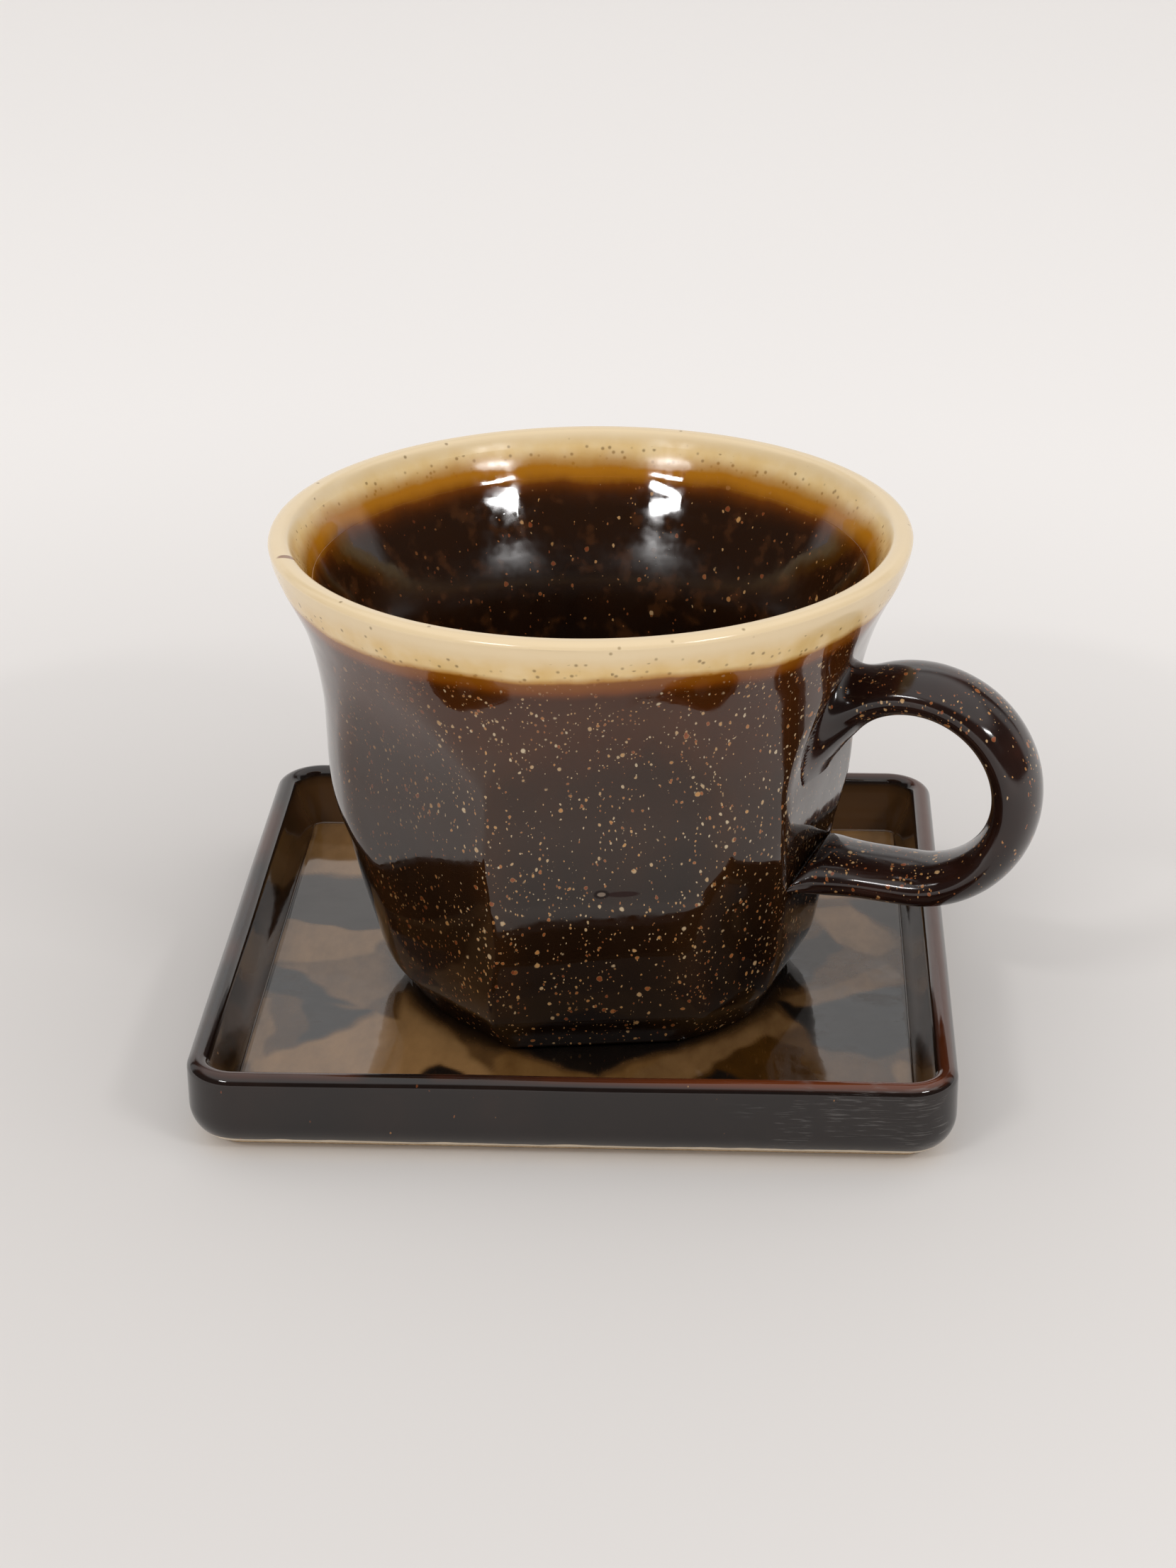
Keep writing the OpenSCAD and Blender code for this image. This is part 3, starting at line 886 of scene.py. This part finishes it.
brown = {  # the cup's own glaze, from its foot to its lip
    "reach": (5, 78),  # mm up, from the first colour to the last
    "outside": [(0, (0.008, 0.0036, 0.0018)), (0.35, (0.015, 0.0066, 0.003)),
                (0.75, (0.029, 0.0105, 0.0036)), (1, (0.055, 0.015, 0.003))],
    "inside": [(0, (0.016, 0.007, 0.003)), (0.6, (0.009, 0.0038, 0.0018)), (1, (0.022, 0.0075, 0.0022))],
    "copper": (0.075, 0.026, 0.008),
    "worn": (0.1, 0.034, 0.007),
}

# a nick in the lip, and a drip with its bead in front, the bead's pale spot a painted highlight: centre and
# reach in mm, colour, dullness
glazeMarks = [
    ((-45.6, -16.2, 83.5), (2.2, 0.9, 0.9), (0.27, 0.14, 0.075), 0),
    ((7.6, -38.2, 36.3), (3, 2.5, 0.6), (0.02, 0.004, 0.002), 0.8),
    ((4.3, -38.6, 36.4), (1.4, 2.5, 0.95), (0.012, 0.004, 0.002), 0.8),
    # painted highlight on the bead
    ((4.3, -38.6, 36.4), (0.75, 2, 0.45), (0.2, 0.15, 0.11), -0.3),
]


def glazeBase(name):
    material, tree, shader = newMaterial(name)
    shader.inputs["IOR"].default_value = glazeIor
    return material, shader, objectPlace(tree)


def setFinish(shader, colour, gloss, height, depth):
    feed(colour, shader.inputs["Base Color"])
    feed(gloss, shader.inputs["Roughness"])
    feed(bump(height, depth), shader.inputs["Normal"])


def brownBody(place, height, inside, edge):
    # dark brown that turns redder towards the top and blacker towards the foot, with faint runs
    runs = cloud(stretch(place, (1, 1, 0.22)), 4.5, 3)
    clouds = cloud(place, 13, 2)
    level = timesPlus(centred(runs), 16, height)
    level = timesPlus(centred(clouds), 22, level)
    level = remap(level, *brown["reach"])
    copper = remap(cloud(place, 3.4, 2), 0.52, 0.72, 0, 0.55)
    inner = mix(copper, ramp(level, brown["inside"]), brown["copper"])
    colour = mix(inside, ramp(level, brown["outside"]), inner)
    return mix(times(edge, 0.12), colour, brown["worn"])


def cupGlaze(name):
    material, shader, place = glazeBase(name)
    inside = readAttribute(place, "inside")
    edge = readAttribute(place, "facetEdge")
    depth = readAttribute(place, "creamDepth")
    along = separate(place)
    height = times(along["Z"], 1 / mm)
    lip = placeGroup(lipGroup, place, Depth=depth, Height=calc("SUBTRACT", height, cup["floor"]),
                     Inside=inside, Brown=brownBody(place, height, inside, edge))

    # flecks: in patches, more at the edges, fewer inside, coarser and warmer towards the foot
    patchy = cloud(place, 10, 2)
    fine = timesPlus(edge, 0.35, remap(patchy, 0.3, 0.7, 0.32, 0.75))
    fine = times(fine, timesPlus(inside, -0.75, 1))
    coarse = timesPlus(edge, 0.5, remap(patchy, 0.3, 0.7, 0.12, 0.36))
    coarse = plus(coarse, remap(height, 40, 18, 0, 0.3))
    left = remap(along["X"], -12 * mm, -30 * mm)
    warmth = plus(remap(height, 45, 10, 0, 0.28), times(inside, 0.35))
    warmth = timesPlus(left, 0.3, warmth)
    dots = placeGroup(flecksGroup, place, Fine=fine, Coarse=coarse, Warmth=warmth)
    bare = times(calc("SUBTRACT", 1, lip["Cream"], clamp=True), remap(depth, -1, -5, 0.3, 1))
    shown = times(dots["Mask"], times(bare, remap(left, 0, 1, 0.9, 0.4)))
    colour = mix(shown, lip["Colour"], dots["Colour"])

    skin = placeGroup(waveGroup, place, Pits=0.02)
    gloss = skin["Roughness"]
    for centre, reach, tint, dull in glazeMarks:
        mark = blob(place, centre, reach)
        colour = mix(mark, colour, tint)
        gloss = timesPlus(mark, dull, gloss, clamp=True)
    stained = times(inside, remap(height, 69, 62, 0, 0.16))
    gloss = timesPlus(lip["Cream"], 0.11, plus(gloss, stained))
    setFinish(shader, colour, gloss, skin["Height"], 0.12)
    return material


strapBrown = [(0.3, (0.01, 0.0045, 0.0035)), (0.6, (0.02, 0.0075, 0.005)), (0.8, (0.04, 0.012, 0.007))]


def strapGlaze(name):
    # the same glaze in thinner, more even brown, with its flecks in denser patches
    material, shader, place = glazeBase(name)
    colour = ramp(cloud(place, 9, 3), strapBrown)
    patchy = cloud(place, 8, 2)
    dots = placeGroup(flecksGroup, place, Fine=remap(patchy, 0.38, 0.62, 0.12, 0.85),
                      Coarse=remap(patchy, 0.38, 0.58, 0.1, 0.95), Warmth=0.25)
    colour = mix(dots["Mask"], colour, dots["Colour"])
    skin = placeGroup(waveGroup, place, Pits=0.02)
    setFinish(shader, colour, plus(skin["Roughness"], 0.07), skin["Height"], 0.1)
    return material


tray = {
    "dark": [(0.3, (0.007, 0.0042, 0.0036)), (0.6, (0.011, 0.006, 0.0046)), (0.8, (0.018, 0.0085, 0.0055))],
    "lining": [(0.35, (0.012, 0.007, 0.004)), (0.65, (0.055, 0.024, 0.009))],
    "backLining": (0.15, 0.072, 0.026),
    "red": (0.12, 0.026, 0.006),  # where the glaze thins on the crest
    "scuff": (0.2, 0.19, 0.18),
    "clay": (0.66, 0.54, 0.38),
    "clayHeight": (3.55, 3.3),  # mm, where the glaze ends
}


def trayGlaze(name):
    material, shader, place = glazeBase(name)
    along = separate(place)
    clouds = cloud(place, 14, 3)
    colour = ramp(clouds, tray["dark"])
    back = remap(along["Y"], 46 * mm, 53 * mm, 0, 0.6)
    lining = mix(back, ramp(clouds, tray["lining"]), tray["backLining"])
    colour = mix(readAttribute(place, "lining"), colour, lining)

    # the crest turns red in front, most towards the right, and less along the right side
    thin = remap(cloud(place, 18, 2), 0.35, 0.65, 0, 0.4)
    front = times(remap(along["Y"], -54 * mm, -57 * mm, 0, 0.9), remap(along["X"], -24 * mm, 30 * mm))
    thin = most(most(thin, front), remap(along["X"], 54 * mm, 57 * mm, 0, 0.5))
    colour = mix(times(readAttribute(place, "crest"), thin), colour, tray["red"])

    # scuffs on the right of the front wall, a few flecks, and bare clay under a wavering line
    worn = times(remap(along["X"], 22 * mm, 34 * mm), remap(along["Y"], -54 * mm, -58 * mm))
    scuff = placeGroup(scuffGroup, place, Amount=times(worn, 0.3))
    colour = mix(scuff["Mask"], colour, tray["scuff"])
    dots = placeGroup(flecksGroup, place, Fine=0.01, Coarse=0, Warmth=0.4)
    colour = mix(times(dots["Mask"], 0.5), colour, dots["Colour"])
    level = timesPlus(cloud(place, 6, 1), 1 * mm, along["Z"])
    high, low = tray["clayHeight"]
    colour = mix(remap(level, high * mm, low * mm), colour, tray["clay"])
    skin = placeGroup(waveGroup, place, Pits=0.03)
    gloss = timesPlus(scuff["Mask"], 0.4, plus(skin["Roughness"], 0.04))
    setFinish(shader, colour, gloss, skin["Height"], 0.05)
    return material


patchTones = {  # from tone 0 to 1, for grey brown hues and for amber ones
    "plain": [(0, (0.007, 0.005, 0.004)), (0.3, (0.018, 0.011, 0.007)),
              (0.6, (0.083, 0.042, 0.017)), (1, (0.28, 0.158, 0.068))],
    "amber": [(0, (0.008, 0.004, 0.002)), (0.4, (0.06, 0.023, 0.003)), (1, (0.23, 0.11, 0.026))],
}


def patchGlaze(name):
    # the panel's tone and hue, with brush marks along Y
    material, shader, place = glazeBase(name)
    brush = cloud(stretch(place, (1, 0.45, 1)), 3.5, 4, 0.6)
    tone = timesPlus(centred(brush), 0.35, readAttribute(place, "patchTone"))
    plain, amber = ramp(tone, patchTones["plain"]), ramp(tone, patchTones["amber"])
    colour = mix(readAttribute(place, "patchHue"), plain, amber)
    skin = placeGroup(waveGroup, place, Pits=0.02)
    setFinish(shader, colour, skin["Roughness"], skin["Height"], 0.1)
    return material


clayTones = {
    "blotches": [(0.3, (0.56, 0.4, 0.24)), (0.7, (0.68, 0.51, 0.33))],
    "grain": (0.36, 0.22, 0.11),
    "roughness": 0.85,
}


def clayFinish(name):
    material, tree, shader = newMaterial(name)
    place = objectPlace(tree)
    grain = cloud(place, 0.7, 3, 0.6)
    colour = ramp(cloud(place, 9, 2), clayTones["blotches"])
    colour = mix(remap(grain, 0.35, 0.6, 0.35, 0), colour, clayTones["grain"])
    setFinish(shader, colour, clayTones["roughness"], grain, 0.12)
    return material


makeCupWall(cupGlaze("bodyGlaze"))
makeLip(cupGlaze("creamGlaze"))
makeHandle(strapGlaze("strapGlaze"))
print("cup: wall, lip and handle built")
clay = clayFinish("bareClay")
makeFootRing(clay)
makeTray(trayGlaze("trayGlaze"))
makeFloorGlaze(patchGlaze("patchGlaze"))
makeClayBase(clay)
print("saucer: built")


# floor, lamps and world
stage = {
    "flat": 1.1,  # radius of the level floor, m
    "bend": 0.5,  # radius of the curve up to the backdrop
    "rise": 0.35,  # straight part above the curve
    "riseSides": (0.45, 0.8),  # it rises behind only, between these sines of the direction
    "columns": 128,
    "floorColour": (0.675, 0.648, 0.63),
    "glowCentre": (-50, -80, 0),  # mm
    "glowReach": (0.06, 0.42),  # m from there, past which the camera and the gloss see the floor paler
    "backdropGlow": 0.21,  # by this
    "sideReach": (-50, -140),  # mm along X, over which the gloss sees it paler too
    "sideGlow": (0.03, 0.14),
    "worldColour": (1, 0.992, 0.984),
    "world": 0.92,  # its strength
    "worldSeen": 0.87,  # and as the camera sees it
    "mirrored": (0.05, 1),  # the world's dark and pale parts in the gloss
    "skyRise": (0.52, 0.8),  # pale above,
    "backRise": (0.7, 0.88),  # behind
    "sideBand": (0.26, 0.4, 0.54, 0.64),  # and in a band on each side
    "sideShare": 0.6,
}

lamps = {
    "azimuths": {"leftLamp": -33, "rightLamp": 46},  # degrees from the front to the right
    "height": 34,  # degrees
    "distance": 1.1,  # m
    "size": (0.24, 0.045),
    "radiance": 52,
}


def makeStage():
    # level floor that curves up into a backdrop behind the object, and stays level in front of it
    swing = np.linspace(-turn / 4, 0, 24)
    flat, bend = stage["flat"], stage["bend"]
    profile = np.vstack([
        np.stack([np.linspace(0.05, flat, 30), np.zeros(30)], 1),
        [flat, bend] + bend * towards(swing)[1:],
        [[flat + bend, bend + stage["rise"]]]])
    around = np.arange(stage["columns"]) / stage["columns"] * turn
    rings = np.stack([profile[:, :1] * np.cos(around), profile[:, :1] * np.sin(around),
                      profile[:, 1:] * ease(*stage["riseSides"], np.sin(around))], -1)[::-1] / mm
    floor = buildPiece("studioFloor", rings, poleEnd=[0, 0, 0], crease=None)
    material, tree, shader = newMaterial("studioFloor")
    place = objectPlace(tree)
    plain = stage["floorColour"]
    paler = tuple(1.03 * part for part in plain)
    feed(mix(cloud(place, 400, 1), plain, paler), shader.inputs["Base Color"])
    shader.inputs["Roughness"].default_value = 0.9
    shader.inputs["Specular IOR Level"].default_value = 0
    centre = [side * mm for side in stage["glowCentre"]]
    away = addNode("VectorMath", place, centre, operation="DISTANCE").outputs["Value"]
    path = tree.nodes.new("ShaderNodeLightPath").outputs
    seen = most(path["Is Camera Ray"], path["Is Glossy Ray"])
    far = remap(away, *stage["glowReach"], 0, stage["backdropGlow"])
    near, beyond = (side * mm for side in stage["sideReach"])
    left = remap(separate(place)["X"], near, beyond, *stage["sideGlow"])
    glow = timesPlus(path["Is Glossy Ray"], left, times(seen, far))
    shader.inputs["Emission Color"].default_value = (*stage["worldColour"], 1)
    feed(glow, shader.inputs["Emission Strength"])
    floor.data.materials.append(material)


def makeLamps():
    # two long low lamps in front, on the left and on the right, aimed at the cup
    for name, azimuth in lamps["azimuths"].items():
        data = bpy.data.lights.new(name, "AREA")
        data.shape = "RECTANGLE"
        data.size, data.size_y = lamps["size"]
        data.energy = lamps["radiance"] * math.pi * data.size * data.size_y
        light = bpy.data.objects.new(name, data)
        azimuth, height = math.radians(azimuth), math.radians(lamps["height"])
        away = Vector((
            math.sin(azimuth) * math.cos(height), -math.cos(azimuth) * math.cos(height), math.sin(height)))
        light.location = away * lamps["distance"] + Vector((0, 0, 50 * mm))
        light.rotation_euler = away.to_track_quat("Z", "Y").to_euler()
        scene.collection.objects.link(light)


def makeWorld():
    # even light all round; the gloss sees it dark low in front, and the camera sees it pale
    world = bpy.data.worlds.new("studioWorld")
    world.use_nodes = True
    tree = world.node_tree
    background = tree.nodes["Background"].inputs
    way = separate(tree.nodes.new("ShaderNodeTexCoord").outputs["Generated"])
    start, full, fade, end = stage["sideBand"]
    sides = times(remap(way["Y"], start, full, 0, stage["sideShare"]), remap(way["Y"], end, fade))
    lit = most(remap(way["Z"], *stage["skyRise"]), remap(way["Y"], *stage["backRise"]))
    mirrored = remap(most(lit, sides), 0, 1, *stage["mirrored"])
    path = tree.nodes.new("ShaderNodeLightPath").outputs
    strength = remap(path["Is Glossy Ray"], 0, 1, stage["world"], mirrored)
    strength = remap(path["Is Camera Ray"], 0, 1, strength, stage["worldSeen"])
    background["Color"].default_value = (*stage["worldColour"], 1)
    feed(strength, background["Strength"])
    scene.world = world


makeStage()
makeLamps()
makeWorld()
print("stage: floor, lamps and world made")
